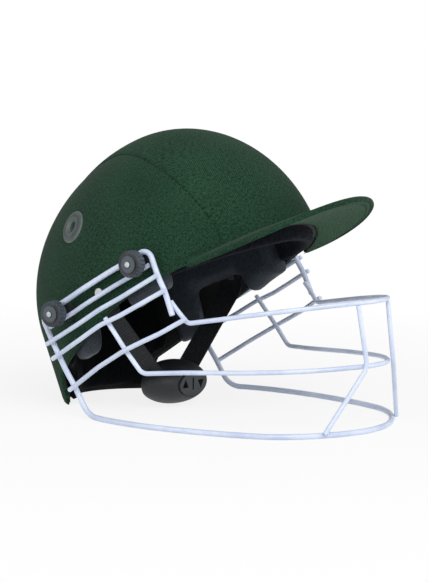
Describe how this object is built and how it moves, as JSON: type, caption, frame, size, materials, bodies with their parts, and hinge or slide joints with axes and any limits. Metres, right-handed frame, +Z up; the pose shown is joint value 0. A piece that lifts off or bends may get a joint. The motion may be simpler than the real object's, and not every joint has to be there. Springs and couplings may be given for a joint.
{
  "type": "cricket helmet",
  "caption": "Cloth-covered cricket helmet with a long peak, side eyelets, a bolted wire face grille and a strap with a chin cup.",
  "frame": {"origin": "middle of the footprint on the floor, at the height of the neck edge and the bottom wire of the grille", "axes": "+X to the wearer's left, +Y to the back of the helmet, +Z up; the helmet lies tipped back as in the picture"},
  "size_m": [0.2428, 0.3522, 0.2454],
  "materials": {
    "cloth_green": "woven cotton drill",
    "cloth_under": "woven cotton drill",
    "welt_green": "turned and stitched cloth edge",
    "shell_plastic": "moulded, dark",
    "board_plastic": "stiff board",
    "foam_black": "cloth faced foam",
    "foam_grey": "grey faced foam",
    "pile_black": "short pile towelling",
    "steel_coated": "satin powder coat",
    "steel_bright": "zinc plated",
    "rubber_black": "moulded rubber",
    "washer_dark": "moulded, dark",
    "knob_black": "moulded, fine grain",
    "eyelet_black": "moulded, dark",
    "webbing": "flat woven webbing",
    "cup_plastic": "moulded, soft sheen"
  },
  "bodies": {
    "headgear": {"shell": "shell_plastic", "cover_centre": "cloth_green", "cover_left": "cloth_green", "cover_right": "cloth_green", "peak_board": "board_plastic", "peak_top_cover": "cloth_green", "peak_under_cover": "cloth_under", "peak_welt": "welt_green", "vent_eyelet_left": "eyelet_black", "vent_eyelet_right": "eyelet_black", "crown_pad": "foam_black", "headband": "pile_black", "side_pad_left": "foam_grey", "side_pad_right": "foam_grey", "neck_pad": "foam_black", "clamp_studs": "steel_bright", "clamp_spacers": "rubber_black", "clamp_washers": "washer_dark", "strap_rivets": "steel_bright"},
    "grille": {"frame_wire": "steel_coated", "slot_wire_left": "steel_coated", "slot_wire_right": "steel_coated", "cheek_wire_upper_left": "steel_coated", "cheek_wire_upper_right": "steel_coated", "cheek_wire_middle_left": "steel_coated", "cheek_wire_middle_right": "steel_coated", "cheek_wire_lower_left": "steel_coated", "cheek_wire_lower_right": "steel_coated", "middle_bar": "steel_coated", "upper_bar": "steel_coated", "front_bar_left": "steel_coated", "front_bar_right": "steel_coated"},
    "chin_strap": {"strap_left": "webbing", "strap_right": "webbing", "chin_cup": "cup_plastic"},
    "knob_front_left_body": {"knob_front_left": "knob_black"},
    "knob_rear_left_body": {"knob_rear_left": "knob_black"},
    "knob_front_right_body": {"knob_front_right": "knob_black"},
    "knob_rear_right_body": {"knob_rear_right": "knob_black"}
  },
  "joints": [
    {"name": "grille_slide", "type": "slide", "parent": "headgear", "child": "grille", "axis": [0, -0.8659, 0.5001], "range_m": [-0.004, 0.007]},
    {"name": "chin_strap_swing", "type": "hinge", "parent": "headgear", "child": "chin_strap", "pos_m": [0, 0.0402, 0.1087], "axis": [1, 0, 0], "range_deg": [-8, 18]},
    {"name": "knob_front_left_turn", "type": "hinge", "parent": "headgear", "child": "knob_front_left_body", "pos_m": [0.1148, -0.0026, 0.1371], "axis": [1, 0, 0], "range_deg": [0, 720]},
    {"name": "knob_rear_left_turn", "type": "hinge", "parent": "headgear", "child": "knob_rear_left_body", "pos_m": [0.1148, 0.0812, 0.0887], "axis": [1, 0, 0], "range_deg": [0, 720]},
    {"name": "knob_front_right_turn", "type": "hinge", "parent": "headgear", "child": "knob_front_right_body", "pos_m": [-0.1148, -0.0026, 0.1371], "axis": [-1, 0, 0], "range_deg": [0, 720]},
    {"name": "knob_rear_right_turn", "type": "hinge", "parent": "headgear", "child": "knob_rear_right_body", "pos_m": [-0.1148, 0.0812, 0.0887], "axis": [-1, 0, 0], "range_deg": [0, 720]}
  ]
}
